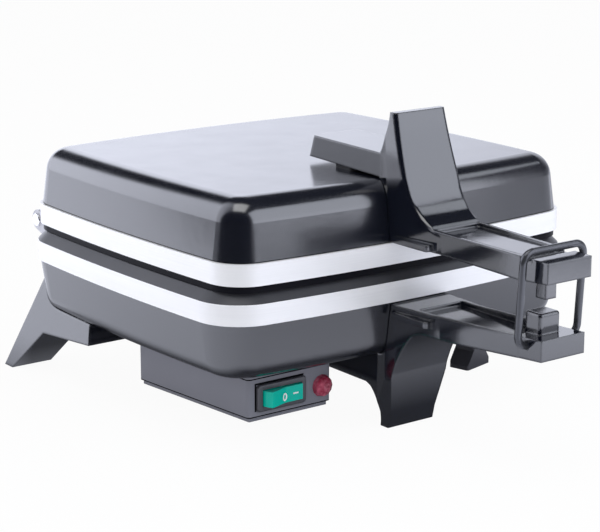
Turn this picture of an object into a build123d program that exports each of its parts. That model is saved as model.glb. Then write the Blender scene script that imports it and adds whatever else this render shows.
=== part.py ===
from build123d import *
import os
from math import atan2, cos, radians, sin, tan

# Contact sandwich maker, free standing, handle side towards -Y, millimetres.
# Heights are above the table, and y is zero at the middle of the two plates until a node is saved.

# Stack of the two halves, from the table up
shell_base_z = 42.4
shell_height = 32.6
lower_band_height = 11.5
lower_bevel = 5.3
plate_gap = 0.4
upper_lip_height = 4.0
upper_band_height = 12.0
lid_height = 32.9

# Plan of the two plates, with gently bowed sides and rounded corners
lower_width = 257.4
lower_depth = 227.1
lower_corner = 27.9
side_step = 3.7
end_step = 0.85
upper_width = lower_width - 2 * side_step
upper_depth = lower_depth - 2 * end_step
upper_corner = 21.5
side_bow = 3.9
end_bow = 7.5
upper_lip_inset = 1.5
front_edge_y = lower_depth / 2
rear_edge_y = lower_depth / 2

# Pressed shells
shell_wall = 1.2
lid_inset = 1.6
lid_draft = 7.5
lid_edge_radius = 14.0
base_inset = 1.0
base_draft = 8.0
base_edge_radius = 12.0

# Cast plates
plate_wall = 4.0
plate_slab = 11.5
pocket_depth = 8.0
pocket_draft = 24.0
pocket_corner = 7.0
rim_land = 9.0
rib_land = 3.0

# Hinge at the back
hinge_reach = 12.95
hinge_y = lower_depth / 2 + hinge_reach
hinge_drop = 2.0
hinge_pin_diameter = 6.0
hinge_pin_clearance = 0.1
lug_radius = 6.2
ear_outer_x = 105.0
ear_thickness = 5.0
tongue_thickness = 8.0
side_clearance = 0.4
pin_head_height = 1.4
pin_head_diameter = 8.0
open_rest_gap = 0.7

# Heating element, a bent sheathed rod under each plate
element_diameter = 6.5
element_half_width = 84.0
element_half_depth = 70.0
element_bend = 24.0
terminal_spacing = 44.0
terminal_length = 9.0
terminal_diameter = 3.0
clamp_width = 14.0
clamp_thickness = 2.0
clamp_y = 18.0
thermostat_diameter = 16.0
thermostat_height = 9.0
thermostat_y = -30.0

# Screws
screw_diameter = 4.0
screw_head_diameter = 8.0
screw_head_height = 2.6
screw_clearance = 0.3
screw_grip = 9.0
fit_gap = 0.2
pillar_x = 50.0
pillar_y = 40.0
boss_diameter = 11.0
lid_screw_x = 66.0
lid_screw_z = 116.0
lid_lug_top_z = 123.0
lid_lug_width = 16.0
lid_lug_depth = 9.0
handle_screw_x = 9.0
handle_screw_y = front_edge_y - 43.55
handle_screw_rise = 14.0
spacer_y = front_edge_y - 49.55
spacer_width = 31.0
spacer_length = 17.0
spacer_corner = 3.0
nut_width = 7.0
nut_height = 3.2

# Control box under the lower shell, left of the handle
box_front_y = front_edge_y - 28.55
box_length = 98.0
box_right_x = 40.0
box_left_front_x = 96.8
box_left_rear_x = 104.8
box_wall_base_z = 15.6
box_wall = 2.5
box_corner = 2.5
box_inner_corner = 0.5
box_post_diameter = 8.0
front_post_y = 50.0
box_screw_diameter = 3.0
box_screw_head = 6.0
box_screw_head_height = 1.4
box_screw_sink = 1.6
cover_inset = 1.7
cover_drop = 2.6
cover_lip = 3.0
cover_lip_wall = 1.5
cover_clearance = 0.3
wire_hole_diameter = 10.0

# Rocker switch in the box front
switch_x = 75.0
switch_z = 26.2
bezel_width = 33.0
bezel_height = 15.5
bezel_thickness = 2.0
bezel_corner = 2.0
switch_body_width = 31.0
switch_body_height = 14.0
switch_body_depth = 22.0
rocker_radius = 13.0
rocker_height = 8.9
rocker_clearance = 0.4
rocker_centre_height = 4.0
rocker_half_angle = 9.0
rocker_pin_diameter = 3.0
rocker_pin_length = 1.5
rocker_well_depth = 9.0
tab_length = 7.0

# Pilot lamp beside the switch
pilot_x = 46.5
pilot_z = 25.4
pilot_diameter = 13.0
pilot_rise = 5.0
pilot_facets = 12
pilot_neck_diameter = 6.0
pilot_body_wall = 0.6
pilot_body_length = 16.0

# Mains inlet and wiring block
gland_x = 71.0
gland_z = 28.0
gland_bore = 8.0
gland_diameter = 14.0
gland_neck_diameter = 11.0
gland_tail = 3.0
gland_nose = 7.0
block_offset = 22.0
block_width = 28.0
block_depth = 16.0
block_height = 14.0

# Rear legs, open-backed mouldings that lean in towards the top
leg_outer_x = lower_width / 2 - 0.2
leg_width = 27.3
leg_lean = 0.237
leg_wall = 2.6
leg_gap = 0.4
leg_heel_y = rear_edge_y + 18.45
leg_toe_y = rear_edge_y + 8.85
leg_lean_back = 0.4825
leg_crook_y = rear_edge_y - 19.45
leg_crook_z = 28.6
leg_arm_front_y = rear_edge_y - 71.55
leg_arm_front_z = 31.4
leg_screw_y = rear_edge_y - 43.55
leg_sole = 3.0
leg_hollow_top_z = 50.0

# Upper handle
lid_arm_rear_y = front_edge_y - 81.45
lid_arm_low = 3.2
lid_arm_depth = 12.4
lid_arm_slant = 4.1
lid_arm_half_width = 16.3
lid_arm_corner = 3.0
handle_gap = 0.4
upper_handle_front_y = front_edge_y + 114.95
fin_root_y = front_edge_y - 16.65
fin_top_y = front_edge_y - 6.35
fin_thickness = 4.8
fin_knee_y = front_edge_y + 10.15
fin_half_width = 17.7
fin_edge_radius = 2.5
handle_rail_z = 120.6
handle_tip_depth = 12.8
upper_tray_depth = 2.2
catch_groove_y = front_edge_y + 95.45
catch_groove_width = 7.5
catch_groove_depth = 1.6

# Widths and stations that both handles share
root_half_width = 20.0
waist_half_width = 17.0
neck_half_width = 15.5
tip_half_width = 15.2
handle_rail = 3.0
root_start_y = front_edge_y - 15.55
root_end_y = front_edge_y + 2.45
tray_back_y = front_edge_y + 27.45
upper_tray_back_y = front_edge_y + 29.95
lower_tray_back_y = front_edge_y + 17.45
tray_front_y = front_edge_y + 92.45
rib_back_y = front_edge_y + 0.95
rib_front_y = front_edge_y + 30.45
side_rib_proud = 2.2
side_rib_height = 3.6

# Lower handle and front foot
foot_half_width = 16.4
foot_back_y = front_edge_y - 13.15
foot_depth = 6.6
lower_handle_front_y = front_edge_y + 111.95
lower_handle_top_z = 74.0
lower_tray_depth = 2.6
lower_arm_rear_y = front_edge_y - 75.55
lower_arm_base_z = 23.0
stop_half_width = 7.2
stop_top_z = 88.6
stop_rear_y = front_edge_y + 90.45
stop_front_y = front_edge_y + 102.45
peg_half_width = 4.0
peg_centre_y = front_edge_y + 98.45
peg_base_z = 95.9

# Catch, a wire bail on the lower handle
wire_diameter = 4.0
bail_half_width = 21.0
bail_top_z = 123.0
bail_top_y = front_edge_y + 103.45
bail_pivot_z = 73.4
bail_pivot_y = front_edge_y + 100.45
bail_bend = 6.0
bail_end_x = 11.0
bail_clearance = 0.1

# Front side support, right of the handle
prop_x = 101.8
prop_y = front_edge_y - 70.15
prop_width = 24.0
prop_depth = 14.0
prop_turn = 14.0
prop_base_height = 2.5
prop_flare_height = 11.0
prop_neck_width = 12.0
prop_edge = 1.5

# Levels worked out from the stack
lower_rim_z = shell_base_z + shell_height
lower_band_top_z = lower_rim_z + lower_band_height
lower_deck_z = lower_band_top_z + lower_bevel
lower_back_z = lower_deck_z - plate_slab
upper_deck_z = lower_deck_z + plate_gap
upper_back_z = upper_deck_z + plate_slab
upper_band_z = upper_deck_z + upper_lip_height
upper_rim_z = upper_band_z + upper_band_height
lid_top_z = upper_rim_z + lid_height
hinge_z = lower_deck_z + plate_gap / 2 - hinge_drop

# The open lid lies on its fin, just clear of the table
fin_top_z = 2 * hinge_z - open_rest_gap

box_rear_y = -box_front_y + box_length
cover_base_z = box_wall_base_z - cover_drop
rocker_lean = radians(rocker_half_angle)
down = (0, 0, -1)
up = (0, 0, 1)


# Shared outlines and small tools


def plan(width, depth, corner, inset=0.0):
    """Bowed rectangle with rounded corners, as a face on z = 0."""
    x = width / 2 - inset
    y = depth / 2 - inset
    corner_x = x - side_bow
    corner_y = y - end_bow
    outline = chain(
        ThreePointArc((corner_x, -corner_y), (x, 0), (corner_x, corner_y)),
        ThreePointArc((corner_x, corner_y), (0, y), (-corner_x, corner_y)),
        ThreePointArc((-corner_x, corner_y), (-x, 0), (-corner_x, -corner_y)),
        ThreePointArc((-corner_x, -corner_y), (0, -y), (corner_x, -corner_y)),
    )
    face = make_face(outline)
    return fillet(face.vertices(), max(corner - inset, 2.0))


def lower_plan(inset=0.0):
    return plan(lower_width, lower_depth, lower_corner, inset)


def upper_plan(inset=0.0):
    return plan(upper_width, upper_depth, upper_corner, inset)


def chain(*edges):
    """Edges that follow one another, as one line."""
    line = edges[0]
    for edge in edges[1:]:
        line += edge
    return line


def side_solid(line, half_width=200.0):
    """Solid from a closed (y, z) line, as wide on both sides of x = 0."""
    return extrude(make_face(Plane.YZ * line), half_width, both=True)


def mirrored_outline(half):
    """Closed outline from the points of its right half."""
    left = [(-x, y) for x, y in reversed(half)]
    return Polyline(*half, *left, close=True)


def both_sides(solid):
    return [solid, mirror(solid, Plane.YZ)]


def cylinder(radius, start, end):
    """Round bar between two points."""
    axis = Vector(*end) - Vector(*start)
    return extrude(Plane(origin=start, z_dir=axis) * Circle(radius), axis.length)


def screw(seat, direction, grip, diameter, head_diameter, head_height):
    """Slotted screw whose head lies on the seat and whose shank runs along the direction."""
    head = Cylinder(head_diameter / 2, head_height, align=(Align.CENTER, Align.CENTER, Align.MAX))
    head = chamfer(head.edges().sort_by(Axis.Z)[0], head_height / 4)
    shank = Cylinder(diameter / 2, grip, align=(Align.CENTER, Align.CENTER, Align.MIN))
    slot = Pos(0, 0, -head_height) * Box(head_diameter, head_diameter / 8, head_height * 0.9)
    return Plane(origin=seat, z_dir=direction) * (head + shank - slot)


def big_screw(seat, direction, grip):
    return screw(seat, direction, grip, screw_diameter, screw_head_diameter, screw_head_height)


def small_screw(seat, direction, grip):
    return screw(seat, direction, grip, box_screw_diameter, box_screw_head, box_screw_head_height)


def screw_hole(seat, direction, depth, diameter=screw_diameter):
    """Clearance hole for a shank, starting just before the seat."""
    start = Vector(*seat) - Vector(*direction)
    end = Vector(*seat) + Vector(*direction) * depth
    return cylinder(diameter / 2 + fit_gap, tuple(start), tuple(end))


# Pressed shells


def lid_form(grow=0.0):
    """Outer form of the lid on the upper band, grown or shrunk all round."""
    rise = lid_height + grow
    form = extrude(Pos(0, 0, upper_rim_z) * upper_plan(lid_inset - grow), rise, taper=lid_draft)
    top = form.faces().sort_by(Axis.Z)[-1]
    return fillet(top.edges(), lid_edge_radius + grow)


def base_form(grow=0.0):
    """Outer form of the lower shell under the lower band, grown or shrunk all round."""
    drop = shell_height + grow
    face = Pos(0, 0, lower_rim_z) * lower_plan(base_inset - grow)
    form = extrude(face, drop, dir=down, taper=base_draft)
    bottom = form.faces().sort_by(Axis.Z)[0]
    return fillet(bottom.edges(), base_edge_radius + grow)


def pillar_places():
    return [(x, y) for x in (-pillar_x, pillar_x) for y in (-pillar_y, pillar_y)]


def handle_screw_places():
    return [(x, -handle_screw_y) for x in (-handle_screw_x, handle_screw_x)]


def leg_screw_places():
    x = leg_outer_x - leg_lean * shell_base_z - leg_width * 0.62
    return [(-x, leg_screw_y), (x, leg_screw_y)]


def box_post_places():
    """Centres of the four posts in the corners of the control box."""
    margin = box_wall + box_post_diameter / 2 - 1.0
    front = -front_post_y
    rear = box_rear_y - margin
    right = -box_right_x - margin
    flare = (box_left_rear_x - box_left_front_x) / box_length
    left_front = margin - box_left_front_x - flare * (front + box_front_y)
    left_rear = margin - box_left_rear_x + flare * margin
    return [(left_front, front), (right, front), (left_rear, rear), (right, rear)]


def wire_hole_place():
    return (-(box_right_x + box_left_front_x) / 2, -box_front_y + box_length * 0.42)


def lower_shell():
    """Lower pressed shell with the holes in its floor."""
    body = base_form() - base_form(-shell_wall)
    for x, y in pillar_places() + handle_screw_places() + leg_screw_places() + box_post_places():
        body -= screw_hole((x, y, shell_base_z), up, shell_wall + 1)
    x, y = wire_hole_place()
    below, above = shell_base_z - 1, shell_base_z + shell_wall + 1
    return body - cylinder(wire_hole_diameter / 2, (x, y, below), (x, y, above))


def lower_shell_screws():
    return [big_screw((x, y, shell_base_z), up, shell_wall + screw_grip) for x, y in pillar_places()]


def lid_wall_point(x, z, inset):
    """Point on the lid's back wall, set in or out, and the way out of the wall there."""
    corner_x = upper_width / 2 - lid_inset - side_bow
    bow = end_bow * (x / corner_x) ** 2
    lean = radians(lid_draft)
    y = upper_depth / 2 - lid_inset - inset - bow - (z - upper_rim_z) * tan(lean)
    turn = 2 * end_bow * x / corner_x**2
    return (x, y, z), (turn * cos(lean), cos(lean), sin(lean))


def lid_screw_seats():
    """Seats of the two screws in the lid's back wall, with the way in."""
    seats = []
    for x in (-lid_screw_x, lid_screw_x):
        point, out = lid_wall_point(x, lid_screw_z, -fit_gap)
        seats.append((point, tuple(-value for value in out)))
    return seats


def upper_handle_screw_seats():
    """Two seats inside the lid's front wall and one under its top."""
    seats = []
    for x in (-handle_screw_x, handle_screw_x):
        height = upper_rim_z + handle_screw_rise
        (x, y, z), (turn, out_y, out_z) = lid_wall_point(x, height, shell_wall + fit_gap)
        seats.append(((x, -y, z), (turn, -out_y, out_z)))
    return seats + [((0, -spacer_y, lid_top_z - shell_wall), up)]


def upper_shell():
    """Lid pressing with the holes for its own screws and the handle's."""
    body = lid_form() - lid_form(-shell_wall)
    for seat, way in upper_handle_screw_seats():
        body -= screw_hole(seat, way, shell_wall + 1)
    for seat, way in lid_screw_seats():
        body -= screw_hole(seat, way, shell_wall + 1)
    return body


def upper_shell_screws():
    return [big_screw(seat, way, screw_grip) for seat, way in lid_screw_seats()]


# Cast heating plates


def triangle_pocket(width, depth):
    """Half of a square bread pocket, open at z = 0 and drafted to its floor."""
    corner = make_face(Polyline((0, 0), (width, 0), (0, depth), close=True))
    mouth = fillet(corner.vertices(), pocket_corner)
    return extrude(mouth, pocket_depth, dir=down, taper=pocket_draft)


def pocket_pattern():
    """Eight triangular pockets, two to each of four squares, cut down from z = 0."""
    reach_x = lower_width / 2 - lower_bevel - side_bow - rim_land
    reach_y = lower_depth / 2 - lower_bevel - end_bow - rim_land
    width = reach_x - rib_land / 2
    depth = reach_y - rib_land / 2
    leg = 1 - rib_land * 0.75 / width - rib_land * 0.75 / depth
    one = triangle_pocket(width * leg, depth * leg)
    inner = Pos(rib_land / 2, rib_land / 2, 0) * one
    outer = Pos(reach_x, reach_y, 0) * Rot(0, 0, 180) * one
    pockets = []
    for pocket in (inner, outer):
        for across in both_sides(pocket):
            pockets += [across, mirror(across, Plane.XZ)]
    return pockets


def hinge_lug(place, root_low, root_high):
    """Lug round the hinge axis, from a root in a plate's back wall."""
    root_y = lower_depth / 2 - end_bow - plate_wall / 2
    eye = Pos(hinge_y, hinge_z) * Circle(lug_radius)
    root = Pos(root_y, (root_low + root_high) / 2) * Rectangle(plate_wall / 2, root_high - root_low)
    outline = make_hull(eye.edges() + root.edges())
    start, end = place
    return Pos(start, 0, 0) * extrude(Plane.YZ * outline, end - start)


def ear_places():
    """Start and end along x of the two ears on the right."""
    tongue_start, tongue_end = tongue_place()
    inner = tongue_start - side_clearance
    return [(inner - ear_thickness, inner), (tongue_end + side_clearance, ear_outer_x)]


def tongue_place():
    end = ear_outer_x - ear_thickness - side_clearance
    return (end - tongue_thickness, end)


def hinge_bore(radius):
    reach = ear_outer_x + 5
    return cylinder(radius, (-reach, hinge_y, hinge_z), (reach, hinge_y, hinge_z))


def lower_plate():
    """Lower casting: bevelled band, pockets, pillars, clamp post and two pairs of ears."""
    plate = extrude(Pos(0, 0, lower_rim_z) * lower_plan(), lower_band_height)
    plate += extrude(Pos(0, 0, lower_band_top_z) * lower_plan(), lower_bevel, taper=45)
    plate -= extrude(Pos(0, 0, lower_rim_z) * lower_plan(plate_wall), lower_back_z - lower_rim_z)
    for pocket in pocket_pattern():
        plate -= Pos(0, 0, lower_deck_z) * pocket
    for place in ear_places():
        for lug in both_sides(hinge_lug(place, lower_rim_z + 1, lower_band_top_z)):
            plate += lug
    foot_z = shell_base_z + shell_wall
    for x, y in pillar_places():
        plate += cylinder(boss_diameter / 2, (x, y, foot_z), (x, y, lower_back_z + 1))
        plate -= screw_hole((x, y, foot_z), up, screw_grip + 1)
    plate += clamp_post(lower_back_z, -1)
    plate -= screw_hole((0, clamp_y, lower_back_z - element_diameter), up, screw_grip)
    return plate - hinge_bore(hinge_pin_diameter / 2)


def upper_plate():
    """Upper casting: plain band over a set-in lip, pockets, lugs, clamp post and two tongues."""
    plate = extrude(Pos(0, 0, upper_band_z) * upper_plan(), upper_band_height)
    plate += extrude(Pos(0, 0, upper_deck_z) * upper_plan(upper_lip_inset), upper_lip_height)
    plate -= extrude(Pos(0, 0, upper_back_z) * upper_plan(plate_wall), upper_rim_z - upper_back_z)
    for pocket in pocket_pattern():
        plate -= Pos(0, 0, upper_deck_z) * mirror(pocket, Plane.XY)
    for lug in both_sides(hinge_lug(tongue_place(), upper_band_z + 1, upper_rim_z - 1)):
        plate += lug
    for x in (-lid_screw_x, lid_screw_x):
        plate += lid_lug(x)
    for seat, way in lid_screw_seats():
        plate -= screw_hole(seat, way, screw_grip + 1)
    plate += clamp_post(upper_back_z, 1)
    plate -= screw_hole((0, clamp_y, upper_back_z + element_diameter), down, screw_grip)
    return plate - hinge_bore(hinge_pin_diameter / 2 + hinge_pin_clearance)


def lid_lug(x):
    """Upright lug of the upper plate, just inside the lid's back wall."""
    height = lid_lug_top_z - upper_back_z + 1
    block = Box(lid_lug_width, 2 * lid_lug_depth, height, align=(Align.CENTER, Align.CENTER, Align.MAX))
    (x, y, z), out = lid_wall_point(x, lid_lug_top_z, shell_wall)
    return (Pos(x, y, z) * block) & lid_form_straight(-shell_wall - fit_gap)


def lid_form_straight(grow):
    """Drafted block of the lid before its top edge is rounded, reaching down into the plate."""
    sunk = upper_rim_z - upper_back_z + 1
    inset = lid_inset - grow - sunk * tan(radians(lid_draft))
    return extrude(Pos(0, 0, upper_rim_z - sunk) * upper_plan(inset), lid_height + sunk, taper=lid_draft)


def clamp_post(back_z, side):
    """Cast post that takes the element clamp's screw."""
    boss_top = back_z + side * element_diameter
    return cylinder(boss_diameter / 2, (0, clamp_y, back_z - side), (0, clamp_y, boss_top))


def hinge_pins():
    """One headed pin on each side, through two ears and a tongue."""
    inner_face = ear_places()[0][0]
    inner_end = (inner_face - 1.0, hinge_y, hinge_z)
    shank = cylinder(hinge_pin_diameter / 2, inner_end, (ear_outer_x, hinge_y, hinge_z))
    head_end = (ear_outer_x + pin_head_height, hinge_y, hinge_z)
    head = cylinder(pin_head_diameter / 2, (ear_outer_x, hinge_y, hinge_z), head_end)
    head = fillet(head.edges().sort_by(Axis.X)[-1], pin_head_height / 2)
    return both_sides(shank + head)


# Heating elements and thermostat


def heating_element(back_z, side):
    """Bent sheathed rod with a terminal pin in each end, lying on the back of a plate."""
    z = back_z + side * element_diameter / 2
    w = element_half_width
    d = element_half_depth
    gap = terminal_spacing / 2
    route = FilletPolyline(
        (-gap, -d, z), (-w, -d, z), (-w, d, z), (w, d, z), (w, -d, z), (gap, -d, z), radius=element_bend
    )
    rod = sweep(Plane(origin=route @ 0, z_dir=route % 0) * Circle(element_diameter / 2), path=route)
    for end in (-gap, gap):
        rod += cylinder(terminal_diameter / 2, (end, -d, z), (end * (1 - terminal_length / gap), -d, z))
    return rod


def element_clamp(back_z, side):
    """Pressed bar across both runs of the element."""
    seat = (0, clamp_y, back_z + side * element_diameter)
    bar = Box(2 * element_half_width + clamp_width, clamp_width, clamp_thickness)
    bar = fillet(bar.edges().filter_by(Axis.Z), clamp_width / 3)
    bar = Pos(0, clamp_y, seat[2] + side * clamp_thickness / 2) * bar
    return bar - screw_hole(seat, (0, 0, side), clamp_thickness + 1)


def clamp_screw(back_z, side):
    seat = (0, clamp_y, back_z + side * (element_diameter + clamp_thickness))
    return big_screw(seat, (0, 0, -side), screw_grip)


def thermostat():
    """Disc thermostat with its flange against the back of the lower plate."""
    foot_z = lower_back_z - thermostat_height
    body = cylinder(thermostat_diameter / 2, (0, thermostat_y, foot_z), (0, thermostat_y, lower_back_z))
    hung = (Align.CENTER, Align.CENTER, Align.MAX)
    flange = Box(thermostat_diameter * 1.8, thermostat_diameter / 2, 1.0, align=hung)
    flange = fillet(flange.edges().filter_by(Axis.Z), thermostat_diameter / 5)
    body += Pos(0, thermostat_y, lower_back_z) * flange
    for x in (-thermostat_diameter / 4, thermostat_diameter / 4):
        body += Pos(x, thermostat_y, foot_z) * Box(0.8, 6.3, 2 * tab_length)
    return body


# Control box


def box_outline(inset=0.0):
    """Outline of the control box, wider at its back."""
    front = -box_front_y + inset
    rear = box_rear_y - inset
    right = -box_right_x - inset
    left_rear = inset - box_left_rear_x
    left_front = inset - box_left_front_x
    corners = ((right, front), (right, rear), (left_rear, rear), (left_front, front))
    face = make_face(Polyline(*corners, close=True))
    return fillet(face.vertices(), max(box_corner - inset, box_inner_corner))


def control_box():
    """Four walls and corner posts under the lower shell, cut for the switch, lamp and inlet."""
    walls = extrude(box_outline() - box_outline(box_wall), shell_base_z - box_wall_base_z)
    walls = Pos(0, 0, box_wall_base_z) * walls
    post_base = box_wall_base_z + cover_lip
    for x, y in box_post_places():
        walls += cylinder(box_post_diameter / 2, (x, y, post_base), (x, y, shell_base_z))
        walls -= cylinder(box_screw_diameter / 2 + fit_gap, (x, y, post_base - 1), (x, y, shell_base_z + 1))
    width = switch_body_width + 2 * fit_gap
    height = switch_body_height + 2 * fit_gap
    walls -= Pos(-switch_x, -box_front_y, switch_z) * Box(width, 4 * box_wall, height)
    lamp_hole = pilot_neck_diameter / 2 + fit_gap
    walls -= through_box_wall(lamp_hole, -pilot_x, -box_front_y, pilot_z)
    return walls - through_box_wall(gland_neck_diameter / 2 + fit_gap, -gland_x, box_rear_y, gland_z)


def through_box_wall(radius, x, y, z):
    return cylinder(radius, (x, y - 2 * box_wall, z), (x, y + 2 * box_wall, z))


def box_cover():
    """Set-in cover with a locating lip and four counterbored screw holes."""
    cover = Pos(0, 0, cover_base_z) * extrude(box_outline(cover_inset), cover_drop)
    outer = box_outline(box_wall + cover_clearance)
    inner = box_outline(box_wall + cover_clearance + cover_lip_wall)
    cover += Pos(0, 0, box_wall_base_z) * extrude(outer - inner, cover_lip - cover_clearance)
    for x, y in box_post_places():
        cover -= cylinder(box_screw_diameter / 2 + fit_gap, (x, y, cover_base_z - 1), (x, y, shell_base_z))
        sink = (x, y, cover_base_z + box_screw_sink)
        cover -= cylinder(box_screw_head / 2 + fit_gap, (x, y, cover_base_z - 1), sink)
    return cover


def box_screws():
    """Four screws down through the shell into the posts."""
    seat_z = shell_base_z + shell_wall
    return [small_screw((x, y, seat_z), down, shell_wall + screw_grip) for x, y in box_post_places()]


def cover_screws():
    """Four screws up through the cover into the posts."""
    seat_z = cover_base_z + box_screw_sink
    return [small_screw((x, y, seat_z), up, screw_grip) for x, y in box_post_places()]


# Switch, lamp, inlet and wiring block


def on_box_front(x, z, shape):
    """A shape drawn with its z axis outwards, set on the box front."""
    return Pos(-x, -box_front_y, z) * Rot(90, 0, 0) * shape


def switch_body():
    """Switch with its bezel outside, a well for the rocker and tabs at the back."""
    bezel = extrude(fillet(Rectangle(bezel_width, bezel_height).vertices(), bezel_corner), bezel_thickness)
    bezel = fillet(bezel.faces().sort_by(Axis.Z)[-1].edges(), bezel_thickness / 2)
    centred = (Align.CENTER, Align.CENTER, Align.MAX)
    body = bezel + Box(switch_body_width, switch_body_height, switch_body_depth, align=centred)
    well_width = 2 * (rocker_radius + rocker_clearance)
    well_height = rocker_height + 2 * rocker_clearance
    well_top = bezel_thickness + 1
    body -= Pos(0, 0, well_top) * Box(well_width, well_height, well_top + rocker_well_depth, align=centred)
    bore_length = well_height + 2 * rocker_pin_length
    body -= Rot(90, 0, 0) * Cylinder(rocker_pin_diameter / 2 + hinge_pin_clearance, bore_length)
    for x in (-9, 0, 9):
        tab = Box(0.8, switch_body_height * 0.45, tab_length, align=centred)
        body += Pos(x, 0, 1 - switch_body_depth) * tab
    return on_box_front(switch_x, switch_z, body)


def rocker_end():
    """Where the rocker's sloping face meets its round end."""
    drop = rocker_centre_height * cos(rocker_lean)
    angle = rocker_lean + atan2(drop, (rocker_radius**2 - drop**2) ** 0.5)
    return rocker_radius * cos(angle), rocker_radius * sin(angle)


def rocker():
    """Rocker with two faces in a shallow V and round ends, tilted so that one end is in."""
    end_u, end_v = rocker_end()
    foot_v = -rocker_radius / 3
    foot_u = (rocker_radius**2 - foot_v**2) ** 0.5
    outline = chain(
        Line((0, rocker_centre_height), (end_u, end_v)),
        ThreePointArc((end_u, end_v), (rocker_radius, 0), (foot_u, foot_v)),
        Line((foot_u, foot_v), (-foot_u, foot_v)),
        ThreePointArc((-foot_u, foot_v), (-rocker_radius, 0), (-end_u, end_v)),
        Line((-end_u, end_v), (0, rocker_centre_height)),
    )
    body = extrude(make_face(Plane.XZ * outline), rocker_height / 2, both=True)
    body += Rot(90, 0, 0) * Cylinder(rocker_pin_diameter / 2, rocker_height + 2 * rocker_pin_length)
    return on_box_front(switch_x, switch_z, Rot(0, rocker_half_angle, 0) * body)


def pilot_lens():
    """Faceted dome with a round neck through the box wall."""
    step = pilot_rise / 2
    low = extrude(RegularPolygon(pilot_diameter / 2, pilot_facets), step, taper=18)
    high = extrude(low.faces().sort_by(Axis.Z)[-1], step, taper=52)
    neck = Cylinder(pilot_neck_diameter / 2, box_wall + 2, align=(Align.CENTER, Align.CENTER, Align.MAX))
    return on_box_front(pilot_x, pilot_z, low + high + neck)


def pilot_body():
    """Lamp holder behind the wall, with a socket for the lens neck."""
    start = box_wall
    radius = pilot_neck_diameter / 2 + fit_gap + pilot_body_wall
    outer = Cylinder(radius, pilot_body_length, align=(Align.CENTER, Align.CENTER, Align.MAX))
    socket = Cylinder(pilot_neck_diameter / 2 + fit_gap, 2 * (2 + fit_gap))
    return on_box_front(pilot_x, pilot_z, Pos(0, 0, -start) * (outer - socket))


def cord_gland():
    """Bushed inlet in the back wall of the box."""
    inside = (-gland_x, box_rear_y - box_wall - gland_tail, gland_z)
    wall_in = (-gland_x, box_rear_y - box_wall, gland_z)
    wall_out = (-gland_x, box_rear_y, gland_z)
    end = (-gland_x, box_rear_y + gland_nose, gland_z)
    nose = cylinder(gland_diameter / 2, wall_out, end)
    nose = fillet(nose.edges().sort_by(Axis.Y)[-1], 1.5)
    gland = cylinder(gland_neck_diameter / 2, inside, wall_out) + nose
    gland += cylinder(gland_diameter / 2, inside, wall_in)
    before = (-gland_x, inside[1] - 1, gland_z)
    after = (-gland_x, end[1] + 1, gland_z)
    return gland - cylinder(gland_bore / 2, before, after)


def terminal_block():
    """Screw block under the shell, inside the control box."""
    x, y = wire_hole_place()
    y += block_offset
    block = Box(block_width, block_depth, block_height)
    for column in (-1, 0, 1):
        place = Pos(column * block_width / 3, 0, 0)
        block -= place * Rot(90, 0, 0) * Cylinder(block_height / 8, block_depth + 2)
        block -= place * Pos(0, 0, -block_height / 2) * Cylinder(block_height / 6, block_height * 0.7)
    return Pos(x, y, shell_base_z - block_height / 2) * block


# Legs and front support


def leaning_slab(outer, width):
    """Space between two planes on the left that lean in towards the top."""
    top = 80.0
    lean = leg_lean * top
    points = [(-outer, 0), (width - outer, 0), (width - outer + lean, top), (lean - outer, top)]
    return extrude(make_face(Plane.XZ * Polyline(*points, close=True)), 200, both=True)


def leg_outline():
    """Side outline of a rear leg, running on into the shell that will trim it."""
    top = 72.0
    return Polyline(
        (leg_heel_y, 0), (leg_heel_y - leg_lean_back * top, top), (leg_arm_front_y + 2, shell_base_z + 14),
        (leg_arm_front_y + 2.4, shell_base_z - 0.4), (leg_arm_front_y, leg_arm_front_z),
        (leg_crook_y - 31, leg_crook_z + 1.2), (leg_crook_y, leg_crook_z - 1.1), (leg_toe_y, 0), close=True,
    )


def leg_hollows():
    """Side outlines of a leg's two hollows: one open below in the arm, one open at the back of the leg."""
    arm = leg_arm_front_y + 2.4 + leg_wall
    arm_top = shell_base_z + 14
    arm_hollow = Polyline(
        (arm, 0), (leg_crook_y - leg_wall, 0), (leg_crook_y - leg_wall, arm_top), (arm, arm_top), close=True
    )
    slope = (leg_toe_y - leg_crook_y) / leg_crook_z
    front = leg_crook_y + 0.7 * leg_wall
    crook = leg_crook_z + 0.7 * leg_wall
    leg_hollow = Polyline(
        (front, crook), (front + (crook - leg_sole) * slope, leg_sole), (leg_heel_y + 5, leg_sole),
        (leg_heel_y + 5, leg_hollow_top_z), (front, leg_hollow_top_z), close=True,
    )
    return [arm_hollow, leg_hollow]


def rear_leg():
    """Left rear leg: an open-backed moulding that wraps the shell's corner and ends in the foot."""
    leg = side_solid(leg_outline()) & leaning_slab(leg_outer_x, leg_width)
    leg = leg - base_form(leg_gap)
    inside = leaning_slab(leg_outer_x - leg_wall, leg_width - 2 * leg_wall) - base_form(leg_gap + leg_wall)
    for hollow in leg_hollows():
        leg -= side_solid(hollow) & inside
    x, y = leg_screw_places()[0]
    return leg - screw_hole((x, y, shell_base_z - leg_gap - leg_wall), up, leg_wall + 2)


def leg_screws():
    z = shell_base_z - leg_gap - leg_wall
    grip = leg_wall + leg_gap + shell_wall + nut_height + 1
    return [big_screw((x, y, z), up, grip) for x, y in leg_screw_places()]


def leg_nuts():
    nuts = []
    for x, y in leg_screw_places():
        nut = extrude(RegularPolygon(nut_width / 2, 6, major_radius=False), nut_height)
        nut -= Cylinder(screw_diameter / 2 + fit_gap / 2, 3 * nut_height)
        nuts.append(Pos(x, y, shell_base_z + shell_wall) * nut)
    return nuts


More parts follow.
